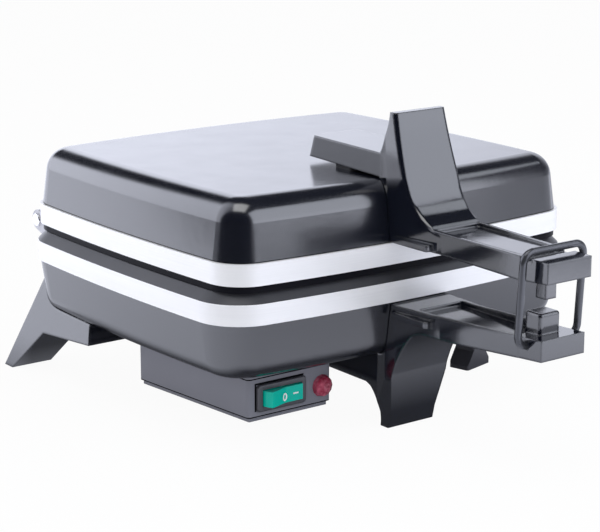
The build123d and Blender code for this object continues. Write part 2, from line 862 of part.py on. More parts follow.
def side_foot():
    """Short support on the right: a neck that flares out to its foot."""
    half = prop_neck_width / 2
    front = mirrored_outline([
        (prop_width / 2, 0), (prop_width / 2, prop_base_height), (half, prop_flare_height),
        (half, shell_base_z - leg_gap),
    ])
    foot = extrude(make_face(Plane.XZ * front), prop_depth / 2, both=True)
    foot = fillet(foot.edges().filter_by(Axis.Z), prop_edge)
    return Pos(prop_x, -prop_y, 0) * Rot(0, 0, prop_turn) * foot


# Handles


def upper_handle_line():
    """Side outline of the upper handle, from the end of its lid arm round to the tip and back."""
    arm_low = lid_top_z + lid_arm_low
    arm_top = arm_low + lid_arm_depth
    rear = -lid_arm_rear_y
    rail = handle_rail_z
    back_top = (-fin_top_y, fin_top_z)
    front_top = (-fin_top_y - fin_thickness, fin_top_z)
    fin_foot = (-fin_root_y, arm_top - 1.2)
    knee = (-fin_knee_y, lid_top_z)
    root = (-tray_back_y, rail + 1.8)
    tip = -upper_handle_front_y
    back_mid = (-(fin_root_y + fin_top_y) / 2 - 1.6, arm_top + 8.4)
    front_mid = (-(fin_top_y + fin_thickness + fin_knee_y) / 2 + 0.4, (fin_top_z + lid_top_z) / 2 - 1.0)
    root_mid = (-(fin_knee_y + tray_back_y) / 2 + 2.0, (lid_top_z + rail) / 2 - 1.0)
    return chain(
        Polyline((rear, arm_low), (rear - lid_arm_slant, arm_top), fin_foot),
        ThreePointArc(fin_foot, back_mid, back_top),
        Line(back_top, front_top),
        ThreePointArc(front_top, front_mid, knee),
        ThreePointArc(knee, root_mid, root),
        Polyline(
            root, (root[0] - 2.2, rail), (tip, rail - 1.8), (tip, rail - handle_tip_depth),
            (tip + 21.0, rail - handle_tip_depth - 1.3), (-tray_back_y - 4, upper_rim_z + handle_gap),
            (-fin_root_y, upper_rim_z + handle_gap), (-fin_root_y, lid_top_z + 1.0), (rear, arm_low),
        ),
    )


def handle_plan(arm_half_width, rear_y, tip_y):
    """Width of a handle seen from above: arm over or under the shell, broad root, waist and tip."""
    return mirrored_outline([
        (arm_half_width, -rear_y + 1), (arm_half_width, -root_start_y), (root_half_width, -root_start_y - 10),
        (root_half_width, -root_end_y), (waist_half_width, -root_end_y - 34),
        (neck_half_width, -tray_front_y - 2),
        (tip_half_width, -tray_front_y - 3.5), (tip_half_width, -tip_y - 1),
    ])


def handle_tray(back_y, z_floor, z_top):
    """Long recess between the two rails of a handle."""
    back = root_half_width - handle_rail - 1.6
    middle = waist_half_width - handle_rail + 1.0
    front = neck_half_width - handle_rail
    outline = mirrored_outline([
        (back, -back_y), (middle, -root_end_y - 34), (front, -tray_front_y),
    ])
    face = make_face(outline)
    face = fillet(face.vertices(), 1.5)
    return Pos(0, 0, z_floor) * extrude(face, z_top - z_floor)


def upper_handle():
    """Upper handle: lid arm, upright fin, and a railed arm that ends in the catch block."""
    handle = side_solid(upper_handle_line())
    outline = make_face(handle_plan(lid_arm_half_width, lid_arm_rear_y - 2, upper_handle_front_y))
    handle = handle & (Pos(0, 0, upper_rim_z - 20) * extrude(outline, 120))
    front = mirrored_outline([
        (root_half_width + 1, upper_rim_z - 20), (root_half_width + 1, handle_rail_z),
        (fin_half_width, fin_top_z + 1),
    ])
    handle = handle & extrude(make_face(Plane.XZ * front), 300)
    handle = handle - lid_form(handle_gap)
    handle = fillet(handle.edges().filter_by(is_fin_edge), fin_edge_radius)
    handle = fillet(handle.edges().filter_by(is_lid_arm_corner), lid_arm_corner)
    handle -= handle_tray(upper_tray_back_y, handle_rail_z - upper_tray_depth, handle_rail_z + 10)
    groove_y = -catch_groove_y - catch_groove_width / 2
    groove = Box(60, catch_groove_width, 2 * catch_groove_depth)
    handle -= Pos(0, groove_y, handle_rail_z - 1.8) * groove
    peg = fillet(Rectangle(2 * peg_half_width, 2 * peg_half_width).vertices(), 1.2)
    peg = extrude(peg, handle_rail_z - 5 - peg_base_z)
    handle += Pos(0, -peg_centre_y, peg_base_z) * peg
    for rib in side_ribs(upper_rim_z + 1.2):
        handle += rib
    for seat, way in upper_handle_screw_seats():
        handle -= screw_hole(seat, way, screw_grip + 2)
    return handle


def is_fin_edge(edge):
    """Long edges of the fin's front face, down to the root."""
    middle = edge.center()
    in_front = -tray_back_y < middle.Y < -fin_top_y - 2
    at_side = abs(middle.X) > fin_half_width - 1
    return in_front and at_side and middle.Z > handle_rail_z + 2 and edge.length > 12


def is_lid_arm_corner(edge):
    """The two upright edges at the rear end of the lid arm."""
    middle = edge.center()
    at_side = abs(middle.X) > lid_arm_half_width - 1
    return middle.Y > -lid_arm_rear_y - lid_arm_slant and at_side and edge.length > 8


def side_ribs(z):
    """Rounded rib along each side of a handle's root."""
    length = rib_front_y - rib_back_y
    rib = Box(2 * (root_half_width + side_rib_proud), length, side_rib_height)
    rib = fillet(rib.edges().filter_by(Axis.Z), side_rib_proud)
    core = Box(2 * root_half_width - 4, length + 2, side_rib_height + 2)
    rib = Pos(0, -(rib_front_y + rib_back_y) / 2, z + side_rib_height / 2) * (rib - core)
    return rib.solids()


def handle_spacer():
    """Pad between the lid and the upper handle's arm, with a hole for the screw."""
    height = arm_underside_z(spacer_y + spacer_length / 2) - lid_top_z
    pad = extrude(fillet(Rectangle(spacer_width, spacer_length).vertices(), spacer_corner), height)
    pad -= Cylinder(screw_diameter / 2 + fit_gap, 4 * height)
    return Pos(0, -spacer_y, lid_top_z) * pad


def arm_underside_z(y):
    """Height of the lid arm's underside at a distance in front of the middle."""
    span = fin_root_y - lid_arm_rear_y
    return lid_top_z + 1.0 + (lid_arm_low - 1.0) * (fin_root_y - y) / span


def upper_handle_screws():
    return [big_screw(seat, way, screw_grip + 1) for seat, way in upper_handle_screw_seats()]


def lower_handle_line():
    """Side outline of the lower handle, from under the shell down the foot and out to the tip."""
    top = lower_handle_top_z
    base = lower_arm_base_z
    rear = -lower_arm_rear_y
    tip = -lower_handle_front_y
    heel = -foot_back_y
    toe = heel - foot_depth
    crook = (heel + 8.6, base - 1.5)
    knee = (toe - 7.5, 34.0)
    bend = (toe - 22.0, 58.6)
    arm = (toe - 33.0, 61.5)
    root = heel - 3.6
    return chain(
        Polyline((rear, base + 0.4), (heel + 12.4, base), crook),
        ThreePointArc(crook, (heel + 2.8, 14.5), (heel, 0)),
        Line((heel, 0), (toe, 0)),
        ThreePointArc((toe, 0), (toe - 2.8, 12.0), knee),
        ThreePointArc(knee, (toe - 14.3, 48.5), bend),
        ThreePointArc(bend, (toe - 27.0, 60.8), arm),
        Polyline(
            arm, (toe - 52.0, 61.8), (tip, top - 7.2), (tip, top + 4.0), (-tray_back_y - 37.0, top + 1.5),
            (-tray_back_y, top), (root, top), (root, shell_base_z + 4), (rear, shell_base_z + 4),
            (rear, base + 0.4),
        ),
    )


def lower_handle():
    """Lower handle: deep arm under the shell, front foot, and a railed arm with the stop block."""
    handle = side_solid(lower_handle_line())
    outline = make_face(handle_plan(foot_half_width + 0.8, lower_arm_rear_y - 2, lower_handle_front_y))
    handle = handle & extrude(outline, 120)
    front = mirrored_outline([
        (foot_half_width, -1), (foot_half_width, 8), (root_half_width + 1, 36), (root_half_width + 1, 120),
    ])
    handle = handle & extrude(make_face(Plane.XZ * front), 300)
    handle = handle - base_form(handle_gap)
    handle -= handle_tray(lower_tray_back_y, lower_handle_top_z - lower_tray_depth, lower_handle_top_z + 10)
    stop = fillet(Rectangle(2 * stop_half_width, stop_front_y - stop_rear_y).vertices(), 2.0)
    stop = extrude(stop, stop_top_z - lower_handle_top_z + lower_tray_depth)
    stop = fillet(stop.faces().sort_by(Axis.Z)[-1].edges(), 1.5)
    stop_z = lower_handle_top_z - lower_tray_depth
    handle += Pos(0, -(stop_front_y + stop_rear_y) / 2, stop_z) * stop
    for rib in side_ribs(lower_handle_top_z - 7.0):
        handle += rib
    for x, y in handle_screw_places():
        handle -= screw_hole((x, y, shell_base_z), down, screw_grip + 1)
    reach = waist_half_width + 6
    pivot_bore = wire_diameter / 2 + bail_clearance
    for side in (-1, 1):
        start = (side * (bail_end_x - fit_gap), -bail_pivot_y, bail_pivot_z)
        handle -= cylinder(pivot_bore, start, (side * reach, -bail_pivot_y, bail_pivot_z))
    return handle


def lower_handle_screws():
    z = shell_base_z + shell_wall
    return [big_screw((x, y, z), down, shell_wall + screw_grip) for x, y in handle_screw_places()]


def latch_wire():
    """Wire bail with its two ends turned in to the lower handle."""
    half = bail_half_width
    low = (-bail_pivot_y, bail_pivot_z)
    high = (-bail_top_y, bail_top_z)
    route = FilletPolyline(
        (-bail_end_x, *low), (-half, *low), (-half, *high), (half, *high), (half, *low), (bail_end_x, *low),
        radius=bail_bend,
    )
    return sweep(Plane(origin=route @ 0, z_dir=route % 0) * Circle(wire_diameter / 2), path=route)


# Nodes

front_reach = max(upper_handle_front_y, lower_handle_front_y)
rear_reach = max(leg_heel_y, hinge_y + lug_radius)
centre_shift = (front_reach - rear_reach) / 2

left_leg = rear_leg()

nodes = {
    "lower_shell": lower_shell(),
    "lower_shell_screws": lower_shell_screws(),
    "lower_plate": lower_plate(),
    "lower_heating_element": heating_element(lower_back_z, -1),
    "lower_element_clamp": element_clamp(lower_back_z, -1),
    "lower_clamp_screw": clamp_screw(lower_back_z, -1),
    "thermostat": thermostat(),
    "control_box": control_box(),
    "control_box_cover": box_cover(),
    "control_box_screws": box_screws(),
    "cover_screws": cover_screws(),
    "switch_body": switch_body(),
    "rocker": rocker(),
    "pilot_lens": pilot_lens(),
    "pilot_body": pilot_body(),
    "cord_gland": cord_gland(),
    "terminal_block": terminal_block(),
    "rear_leg_left": left_leg,
    "rear_leg_right": mirror(left_leg, Plane.YZ),
    "rear_leg_screws": leg_screws(),
    "rear_leg_nuts": leg_nuts(),
    "side_foot": side_foot(),
    "lower_handle": lower_handle(),
    "lower_handle_screws": lower_handle_screws(),
    "hinge_pins": hinge_pins(),
    "upper_shell": upper_shell(),
    "upper_shell_screws": upper_shell_screws(),
    "upper_plate": upper_plate(),
    "upper_heating_element": heating_element(upper_back_z, 1),
    "upper_element_clamp": element_clamp(upper_back_z, 1),
    "upper_clamp_screw": clamp_screw(upper_back_z, 1),
    "upper_handle": upper_handle(),
    "upper_handle_screws": upper_handle_screws(),
    "handle_spacer": handle_spacer(),
    "latch_wire": latch_wire(),
}

os.makedirs("parts", exist_ok=True)
for name, shape in nodes.items():
    pieces = shape if isinstance(shape, list) else [shape]
    placed = [Pos(0, centre_shift, 0) * piece for piece in pieces]
    export_step(Compound(children=placed) if len(placed) > 1 else placed[0], f"parts/{name}.step")
print(f"{len(nodes)} nodes, moved {centre_shift:.2f} mm along y")
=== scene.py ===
import math

import bmesh
import bpy
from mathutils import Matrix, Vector
from mathutils.bvhtree import BVHTree


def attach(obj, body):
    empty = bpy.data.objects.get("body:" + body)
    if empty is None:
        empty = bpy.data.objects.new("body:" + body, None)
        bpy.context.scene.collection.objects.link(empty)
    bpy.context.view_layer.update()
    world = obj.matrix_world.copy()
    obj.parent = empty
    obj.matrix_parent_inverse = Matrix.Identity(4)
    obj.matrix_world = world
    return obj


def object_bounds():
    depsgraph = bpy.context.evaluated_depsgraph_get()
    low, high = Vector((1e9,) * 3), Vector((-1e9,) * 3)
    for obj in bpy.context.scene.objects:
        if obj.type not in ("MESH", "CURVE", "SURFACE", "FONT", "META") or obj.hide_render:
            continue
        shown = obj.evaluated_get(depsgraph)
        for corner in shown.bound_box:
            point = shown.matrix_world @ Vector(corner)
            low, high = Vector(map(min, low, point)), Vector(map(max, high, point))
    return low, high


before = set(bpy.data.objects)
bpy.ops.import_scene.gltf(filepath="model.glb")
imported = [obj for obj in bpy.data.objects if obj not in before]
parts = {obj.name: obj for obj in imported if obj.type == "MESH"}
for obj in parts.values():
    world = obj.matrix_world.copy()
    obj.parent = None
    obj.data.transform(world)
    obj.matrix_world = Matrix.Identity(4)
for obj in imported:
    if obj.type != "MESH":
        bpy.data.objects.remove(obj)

cadLow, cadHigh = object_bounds()
print("frame loaded:", len(parts), "parts")


# Camera at the photograph's viewing angle

camera = {
    "place": (-0.6671, -0.8408, 0.3485),
    "aim": (0.0024, 0.0479, 0.06955),
    "lens": 114.45,
}


def setCamera(look):
    data = bpy.data.cameras.new("productCamera")
    data.lens = look["lens"]
    data.sensor_width = 36
    data.clip_start = 0.01
    rig = bpy.data.objects.new("productCamera", data)
    rig.location = look["place"]
    toward = Vector(look["aim"]) - Vector(look["place"])
    rig.rotation_euler = toward.to_track_quat("-Z", "Y").to_euler()
    bpy.context.scene.collection.objects.link(rig)
    bpy.context.scene.camera = rig


setCamera(camera)
bpy.context.scene.view_settings.view_transform = "Standard"


# Small helpers for node trees

def addNode(tree, kind, **settings):
    node = tree.nodes.new(kind)
    for key, value in settings.items():
        setattr(node, key, value)
    return node


def workOut(tree, operation, first, second=0):
    node = addNode(tree, "ShaderNodeMath", operation=operation)
    for socket, value in zip(node.inputs, (first, second)):
        if isinstance(value, (int, float)):
            socket.default_value = value
        else:
            tree.links.new(value, socket)
    return node.outputs[0]


# Noise stays mostly between 0.3 and 0.7, so that is what is spread out by default
def spread(tree, source, low, high, fromLow=0.3, fromHigh=0.7):
    node = addNode(tree, "ShaderNodeMapRange")
    for name, value in (("From Min", fromLow), ("From Max", fromHigh), ("To Min", low), ("To Max", high)):
        node.inputs[name].default_value = value
    tree.links.new(source, node.inputs["Value"])
    return node.outputs["Result"]


def along(tree, source, direction):
    node = addNode(tree, "ShaderNodeVectorMath", operation="DOT_PRODUCT")
    tree.links.new(source, node.inputs[0])
    node.inputs[1].default_value = Vector(direction).normalized()
    return node.outputs["Value"]


def splitUp(tree, source):
    node = addNode(tree, "ShaderNodeSeparateXYZ")
    tree.links.new(source, node.inputs[0])
    return node.outputs


def objectPlace(tree):
    return splitUp(tree, addNode(tree, "ShaderNodeTexCoord").outputs["Object"])


def rampOf(tree, source, stops):
    node = addNode(tree, "ShaderNodeValToRGB")
    elements = node.color_ramp.elements
    while len(elements) < len(stops):
        elements.new(0.5)
    for element, (place, value) in zip(elements, stops):
        element.position = place
        element.color = (value, value, value, 1)
    tree.links.new(source, node.inputs["Fac"])
    return node.outputs["Color"]


def noiseOn(tree, scale, detail=3.0, stretch=(1, 1, 1)):
    coord = addNode(tree, "ShaderNodeTexCoord")
    mapping = addNode(tree, "ShaderNodeMapping")
    mapping.inputs["Scale"].default_value = stretch
    tree.links.new(coord.outputs["Object"], mapping.inputs["Vector"])
    noise = addNode(tree, "ShaderNodeTexNoise")
    noise.inputs["Scale"].default_value = scale
    noise.inputs["Detail"].default_value = detail
    tree.links.new(mapping.outputs["Vector"], noise.inputs["Vector"])
    return noise.outputs["Fac"]


# A mix node holds a set of sockets for each kind of data, and only their numbers tell them apart
def blendColours(tree, factor, first, second):
    node = addNode(tree, "ShaderNodeMix", data_type="RGBA")
    for socket, value in ((node.inputs[6], first), (node.inputs[7], second)):
        if isinstance(value, tuple):
            socket.default_value = (*value, 1)
        else:
            tree.links.new(value, socket)
    tree.links.new(factor, node.inputs[0])
    return node.outputs[2]


def blendValues(tree, factor, first, second):
    node = addNode(tree, "ShaderNodeMix", data_type="FLOAT")
    for socket, value in ((node.inputs[2], first), (node.inputs[3], second)):
        if isinstance(value, (int, float)):
            socket.default_value = value
        else:
            tree.links.new(value, socket)
    tree.links.new(factor, node.inputs[0])
    return node.outputs[0]


def addBumps(tree, shader, layers, softEdge=0):
    last = None
    if softEdge:
        rounding = addNode(tree, "ShaderNodeBevel", samples=6)
        rounding.inputs["Radius"].default_value = softEdge
        last = rounding.outputs["Normal"]
    for height, depth in layers:
        bump = addNode(tree, "ShaderNodeBump")
        bump.inputs["Distance"].default_value = depth
        tree.links.new(height, bump.inputs["Height"])
        if last:
            tree.links.new(last, bump.inputs["Normal"])
        last = bump.outputs["Normal"]
    tree.links.new(last, shader.inputs["Normal"])


# Studio: pale floor, white surround, a bright sweep behind the object

studio = {
    "brightSide": (0.0, 1.0, 0.0),  # the sweep grows brighter towards this side
    "sweep": [
        (0.0, 0.02), (0.25, 0.03), (0.45, 0.06), (0.6, 0.2), (0.75, 0.5),
        (0.82, 0.54), (0.88, 0.8), (0.94, 1.0), (1.0, 1.0),
    ],
    "dome": [
        (0.0, 0.68), (0.14, 0.8), (0.24, 0.93), (0.36, 1.0),
        (0.5, 1.0), (0.56, 0.1), (0.62, 0.02), (1.0, 0.02),
    ],
    "lowWall": [(0.0, 0.12), (0.16, 0.12), (0.24, 0.04), (1.0, 0.0)],
    "darkSide": (-0.863, -0.505, 0.0),  # the dark room on the camera's side
    "darkRoom": [(0.0, 1.0), (0.53, 1.0), (0.57, 0.02), (1.0, 0.02)],
    "tableEdge": [(0.0, 1.0), (0.42, 1.0), (0.58, 0.02), (1.0, 0.02)],
    "leftGlow": (-0.26, -0.02),  # past these, to the left, the wall stays bright to the top
    "flagSide": (0.05, 0.86, 0.5),  # a small dark panel in front of the sweep
    "flag": [(0.0, 1.0), (0.95, 1.0), (0.982, 0.02), (1.0, 0.02)],
    "sweepColour": (0.9, 0.93, 1.06),
    "sweepGain": 2.55,
    "floorGain": 2.08,
    "underside": {"middle": (0.0, 0.045), "half": (0.165, 0.165), "soft": 0.05, "dim": 0.88},
    "floorSide": (-0.5, 0.87, 0.0),
    "floorReach": 0.7,
    "floorSheen": [
        (0.0, 0.35), (0.06, 0.65), (0.12, 0.92), (0.2, 0.72),
        (0.37, 0.34), (0.5, 0.46), (0.8, 0.68), (1.0, 0.9),
    ],
    "fill": 0.6,
    "fillColour": (0.97, 0.98, 1.0),
    "floorSize": 9.0,
    "floorColour": (0.86, 0.86, 0.87),
    "floorGlow": 0.95,
}


def isRay(tree, kind):
    return addNode(tree, "ShaderNodeLightPath").outputs[kind]


def paintWorld(look):
    world = bpy.data.worlds.new("studio")
    world.use_nodes = True
    bpy.context.scene.world = world
    tree = world.node_tree
    tree.nodes.clear()
    out = addNode(tree, "ShaderNodeOutputWorld")
    direction = addNode(tree, "ShaderNodeTexCoord").outputs["Generated"]
    side = spread(tree, along(tree, direction, look["brightSide"]), 0, 1, -1, 1)
    sweep = workOut(tree, "MULTIPLY", rampOf(tree, side, look["sweep"]), look["sweepGain"])
    x, y, z = splitUp(tree, direction)
    leftGlow = spread(tree, x, 1, 0, *look["leftGlow"])
    dome = workOut(tree, "MAXIMUM", rampOf(tree, z, look["dome"]), leftGlow)
    lowWall = workOut(tree, "MULTIPLY", rampOf(tree, z, look["lowWall"]), look["sweepGain"])
    backdrop = workOut(tree, "MAXIMUM", workOut(tree, "MULTIPLY", sweep, dome), lowWall)
    shade = rampOf(tree, along(tree, direction, look["darkSide"]), look["darkRoom"])
    flag = rampOf(tree, along(tree, direction, look["flagSide"]), look["flag"])
    mirrored = addNode(tree, "ShaderNodeBackground")
    mirrored.inputs["Color"].default_value = (*look["sweepColour"], 1)
    lit = workOut(tree, "MULTIPLY", workOut(tree, "MULTIPLY", backdrop, shade), flag)
    tree.links.new(lit, mirrored.inputs["Strength"])
    seen = addNode(tree, "ShaderNodeBackground")
    soft = addNode(tree, "ShaderNodeBackground")
    soft.inputs["Color"].default_value = (*look["fillColour"], 1)
    soft.inputs["Strength"].default_value = look["fill"]
    glossy = addNode(tree, "ShaderNodeMixShader")
    tree.links.new(isRay(tree, "Is Glossy Ray"), glossy.inputs[0])
    tree.links.new(soft.outputs[0], glossy.inputs[1])
    tree.links.new(mirrored.outputs[0], glossy.inputs[2])
    direct = addNode(tree, "ShaderNodeMixShader")
    plain = workOut(tree, "MAXIMUM", isRay(tree, "Is Camera Ray"), isRay(tree, "Is Transmission Ray"))
    tree.links.new(plain, direct.inputs[0])
    tree.links.new(glossy.outputs[0], direct.inputs[1])
    tree.links.new(seen.outputs[0], direct.inputs[2])
    tree.links.new(direct.outputs[0], out.inputs["Surface"])


# How far a point of the floor lies in the shade under the object
def underneath(tree, place, look):
    shade = look["dim"]
    for at, middle, half in zip(splitUp(tree, place), look["middle"], look["half"]):
        off = workOut(tree, "ABSOLUTE", workOut(tree, "SUBTRACT", at, middle))
        shade = workOut(tree, "MULTIPLY", spread(tree, off, 1, 0, half - look["soft"], half), shade)
    return shade


def layFloor(look):
    half = look["floorSize"]
    mesh = bpy.data.meshes.new("floor")
    edit = bmesh.new()
    corners = [edit.verts.new((x * half, y * half, 0)) for x, y in ((-1, -1), (1, -1), (1, 1), (-1, 1))]
    edit.faces.new(corners)
    edit.to_mesh(mesh)
    edit.free()
    floor = bpy.data.objects.new("floor", mesh)
    bpy.context.scene.collection.objects.link(floor)
    mat = bpy.data.materials.new("paleFloor")
    mat.use_nodes = True
    tree = mat.node_tree
    tree.nodes.clear()
    out = addNode(tree, "ShaderNodeOutputMaterial")
    paint = addNode(tree, "ShaderNodeBsdfDiffuse")
    paint.inputs["Color"].default_value = (*look["floorColour"], 1)
    glow = addNode(tree, "ShaderNodeEmission")
    seen = addNode(tree, "ShaderNodeMixShader")
    tree.links.new(workOut(tree, "MULTIPLY", isRay(tree, "Is Camera Ray"), look["floorGlow"]), seen.inputs[0])
    tree.links.new(paint.outputs[0], seen.inputs[1])
    tree.links.new(glow.outputs[0], seen.inputs[2])
    place = addNode(tree, "ShaderNodeNewGeometry").outputs["Position"]
    side = spread(tree, along(tree, place, look["floorSide"]), 0, 1, -look["floorReach"], look["floorReach"])
    sheen = addNode(tree, "ShaderNodeEmission")
    sheen.inputs["Color"].default_value = (*look["sweepColour"], 1)
    edge = rampOf(tree, along(tree, place, look["darkSide"]), look["tableEdge"])
    lit = workOut(tree, "MULTIPLY", rampOf(tree, side, look["floorSheen"]), look["floorGain"])
    clear = workOut(tree, "SUBTRACT", 1, underneath(tree, place, look["underside"]))
    shown = workOut(tree, "MULTIPLY", workOut(tree, "MULTIPLY", lit, edge), clear)
    tree.links.new(shown, sheen.inputs["Strength"])
    mirrored = addNode(tree, "ShaderNodeMixShader")
    tree.links.new(isRay(tree, "Is Glossy Ray"), mirrored.inputs[0])
    tree.links.new(seen.outputs[0], mirrored.inputs[1])
    tree.links.new(sheen.outputs[0], mirrored.inputs[2])
    tree.links.new(mirrored.outputs[0], out.inputs["Surface"])
    floor.data.materials.append(mat)


paintWorld(studio)
layFloor(studio)

lampAim = (0, 0.03, 0.08)
lamps = {
    "overheadSoftbox": {
        "place": (-0.37, -0.28, 1.65), "size": 1.1, "watts": 7, "tint": (1, 1, 1), "mirrored": True,
    },
    "rightSoftbox": {
        "place": (0.7, -1.42, 0.86), "size": 1.6, "watts": 13.8, "tint": (0.9, 0.94, 1.06), "mirrored": True,
    },
    "highStrip": {
        "place": (1.3, -0.45, 1.42), "size": 0.5, "watts": 1.1, "tint": (0.9, 0.95, 1.05), "mirrored": True,
    },
    "leftFill": {
        "place": (-1.5, -0.3, 0.7), "size": 1.0, "watts": 4, "tint": (1, 1, 1), "mirrored": False,
    },
}


def hangLamp(name, look):
    data = bpy.data.lights.new(name, "AREA")
    data.shape = "SQUARE"
    data.size = look["size"]
    data.energy = look["watts"]
    data.color = look["tint"]
    lamp = bpy.data.objects.new(name, data)
    lamp.location = look["place"]
    toward = Vector(lampAim) - lamp.location
    lamp.rotation_euler = toward.to_track_quat("-Z", "Y").to_euler()
    lamp.visible_glossy = look["mirrored"]
    bpy.context.scene.collection.objects.link(lamp)


for name, look in lamps.items():
    hangLamp(name, look)
print("studio ready")


# Finishes

# Colour and shine of the painted shade in gaps and creases
seamShadeBlack = (0.002, 0.002, 0.003)
seamShadeShine = 0.05
plainShine = 0.5
cloudScale = 18
smudgeScale = 45


def newFinish(name, look):
    mat = bpy.data.materials.new(name)
    mat.use_nodes = True
    tree = mat.node_tree
    shader = tree.nodes["Principled BSDF"]
    shader.inputs["Metallic"].default_value = look.get("metal", 0)
    shader.inputs["IOR"].default_value = look.get("ior", 1.5)
    shader.inputs["Specular IOR Level"].default_value = look.get("shine", plainShine)
    return mat, tree, shader


def between(tree, value, low, high):
    above = workOut(tree, "GREATER_THAN", value, low)
    return workOut(tree, "MULTIPLY", above, workOut(tree, "LESS_THAN", value, high))


# Painted shade: thin near-black, barely shiny lines of shadow in the gaps and creases that run round a part
# between two heights, and short ones within a span of x and z
def paintSeamShade(tree, shader, look):
    x, y, z = objectPlace(tree)
    seamShadeMask = 0
    for low, high in look["shadedSeams"]:
        seamShadeMask = workOut(tree, "MAXIMUM", between(tree, z, low, high), seamShadeMask)
    # Painted shadow: short dark lines at the top and left of a recess, within a span of x and z
    for across, heights in look.get("shadedSlots", []):
        slot = workOut(tree, "MULTIPLY", between(tree, x, *across), between(tree, z, *heights))
        seamShadeMask = workOut(tree, "MAXIMUM", slot, seamShadeMask)
    painted = shader.inputs["Base Color"].links[0].from_socket
    tree.links.new(blendColours(tree, seamShadeMask, painted, seamShadeBlack), shader.inputs["Base Color"])
    shine = blendValues(tree, seamShadeMask, look.get("shine", plainShine), seamShadeShine)
    tree.links.new(shine, shader.inputs["Specular IOR Level"])


# A coat or moulding: two close colours, uneven gloss, a fine surface
def mottled(name, look):
    mat, tree, shader = newFinish(name, look)
    cloud = noiseOn(tree, look.get("cloudScale", cloudScale), 4)
    colour = blendColours(tree, spread(tree, cloud, 0, 1), look["colour"], look["second"])
    tree.links.new(colour, shader.inputs["Base Color"])
    smudge = noiseOn(tree, smudgeScale, 5)
    low, high = look["rough"]
    tree.links.new(spread(tree, smudge, low, high), shader.inputs["Roughness"])
    # Painted shade in the gaps and creases that the look lists
    if "shadedSeams" in look:
        paintSeamShade(tree, shader, look)
    fine = [(noiseOn(tree, scale, 2), depth) for scale, depth in look["bumps"]]
    addBumps(tree, shader, fine, look.get("softEdge", 0))
    return mat


enamel = {
    "colour": (0.004, 0.005, 0.01), "second": (0.006, 0.0075, 0.014),
    # painted shade: a thin near-black line along the lid's lower edge over the band
    "rough": (0.17, 0.21), "ior": 2.3, "shadedSeams": [(0.1082, 0.1087)],
    "bumps": [(160, 0.00003), (900, 0.000006)],
}
phenolic = {
    "colour": (0.004, 0.005, 0.01), "second": (0.006, 0.0075, 0.014),
    "rough": (0.09, 0.14), "ior": 2.25, "softEdge": 0.0016,
    "bumps": [(90, 0.00005), (700, 0.000008)],
}
boxPaint = {
    "colour": (0.178, 0.18, 0.212), "second": (0.196, 0.198, 0.232),
    "rough": (0.4, 0.5), "softEdge": 0.0008,
    # painted shade: thin dark lines along the box's joints
    "shadedSeams": [(0.0156, 0.0162), (0.0371, 0.0378)],
    # painted shadow at the top and left edges of the switch's recess
    "shadedSlots": [((-0.0925, -0.0914), (0.0188, 0.0349)), ((-0.0925, -0.0592), (0.0339, 0.0349))],
    "bumps": [(2200, 0.00003)],
}
switchPlastic = {
    "colour": (0.052, 0.052, 0.062), "second": (0.062, 0.062, 0.073),
    "rough": (0.3, 0.38), "ior": 1.7,
    "bumps": [(2600, 0.00001)],
}
rubber = {
    "colour": (0.011, 0.011, 0.012), "second": (0.018, 0.018, 0.02),
    "rough": (0.5, 0.62),
    "bumps": [(1500, 0.00003)],
}
ceramic = {
    "colour": (0.74, 0.71, 0.64), "second": (0.82, 0.8, 0.75),
    "rough": (0.3, 0.42),
    "bumps": [(900, 0.00002)],
}
zincPlate = {
    "colour": (0.62, 0.63, 0.65), "second": (0.74, 0.74, 0.75),
    "rough": (0.25, 0.4), "metal": 1, "cloudScale": 300,
    "bumps": [(1800, 0.00001)],
}
brightSteel = {
    "colour": (0.84, 0.84, 0.86), "second": (0.92, 0.92, 0.93),
    "rough": (0.16, 0.28), "metal": 1, "cloudScale": 200,
    "bumps": [(2500, 0.000006)],
}
elementSheath = {
    "colour": (0.1, 0.085, 0.075), "second": (0.2, 0.17, 0.15),
    "rough": (0.42, 0.6), "metal": 1, "cloudScale": 60,
    "bumps": [(1500, 0.00002)],
}
bailWire = {
    "colour": (0.075, 0.078, 0.09), "second": (0.1, 0.103, 0.115),
    "rough": (0.2, 0.32), "metal": 0.6, "ior": 1.9,
    "bumps": [(1200, 0.00001)],
}
lampRed = {
    "colour": (0.22, 0.002, 0.025), "second": (0.58, 0.13, 0.2),
    "rough": (0.08, 0.14), "ior": 1.6, "cloudScale": 320,
    "bumps": [(400, 0.00001)],
}
switchGreen = {
    "colour": (0.0, 0.46, 0.35), "second": (0.0, 0.52, 0.4),
    "rough": (0.16, 0.24), "shine": 0.25,
    "bumps": [(900, 0.000006)],
}
markWhite = {
    "colour": (0.86, 0.88, 0.88), "second": (0.93, 0.94, 0.94),
    "rough": (0.4, 0.5),
    "bumps": [(2500, 0.000005)],
}

casting = {
    "bare": (0.9, 0.9, 0.915), "bareSecond": (0.97, 0.97, 0.98),
    "bareRough": (0.36, 0.5), "bareMetal": 0.4,
    "coat": (0.042, 0.043, 0.05), "coatSecond": (0.055, 0.056, 0.064),
    "coatRough": 0.36,
    # painted shade on the upper plate's coated edge below the band
    "lip": (0.006, 0.006, 0.009), "lipShine": 0.06,
    "streak": (14, 14, 5200), "streakDepth": 0.000012, "streakSpan": (0.25, 0.7),
    "patchScale": 22, "patchShade": 0.55, "coatScale": 30, "grainScale": 1400,
    "hingeLine": 0.162, "lug": (0.55, 0.55, 0.59),
    "insideX": 0.112, "insideY": (-0.05, 0.146),
    "lower": {"seam": 0.0866, "back": 0.082, "facing": "GREATER_THAN", "dark": False},
    "upper": {"seam": 0.0962, "back": 0.102, "facing": "LESS_THAN", "dark": True},
}
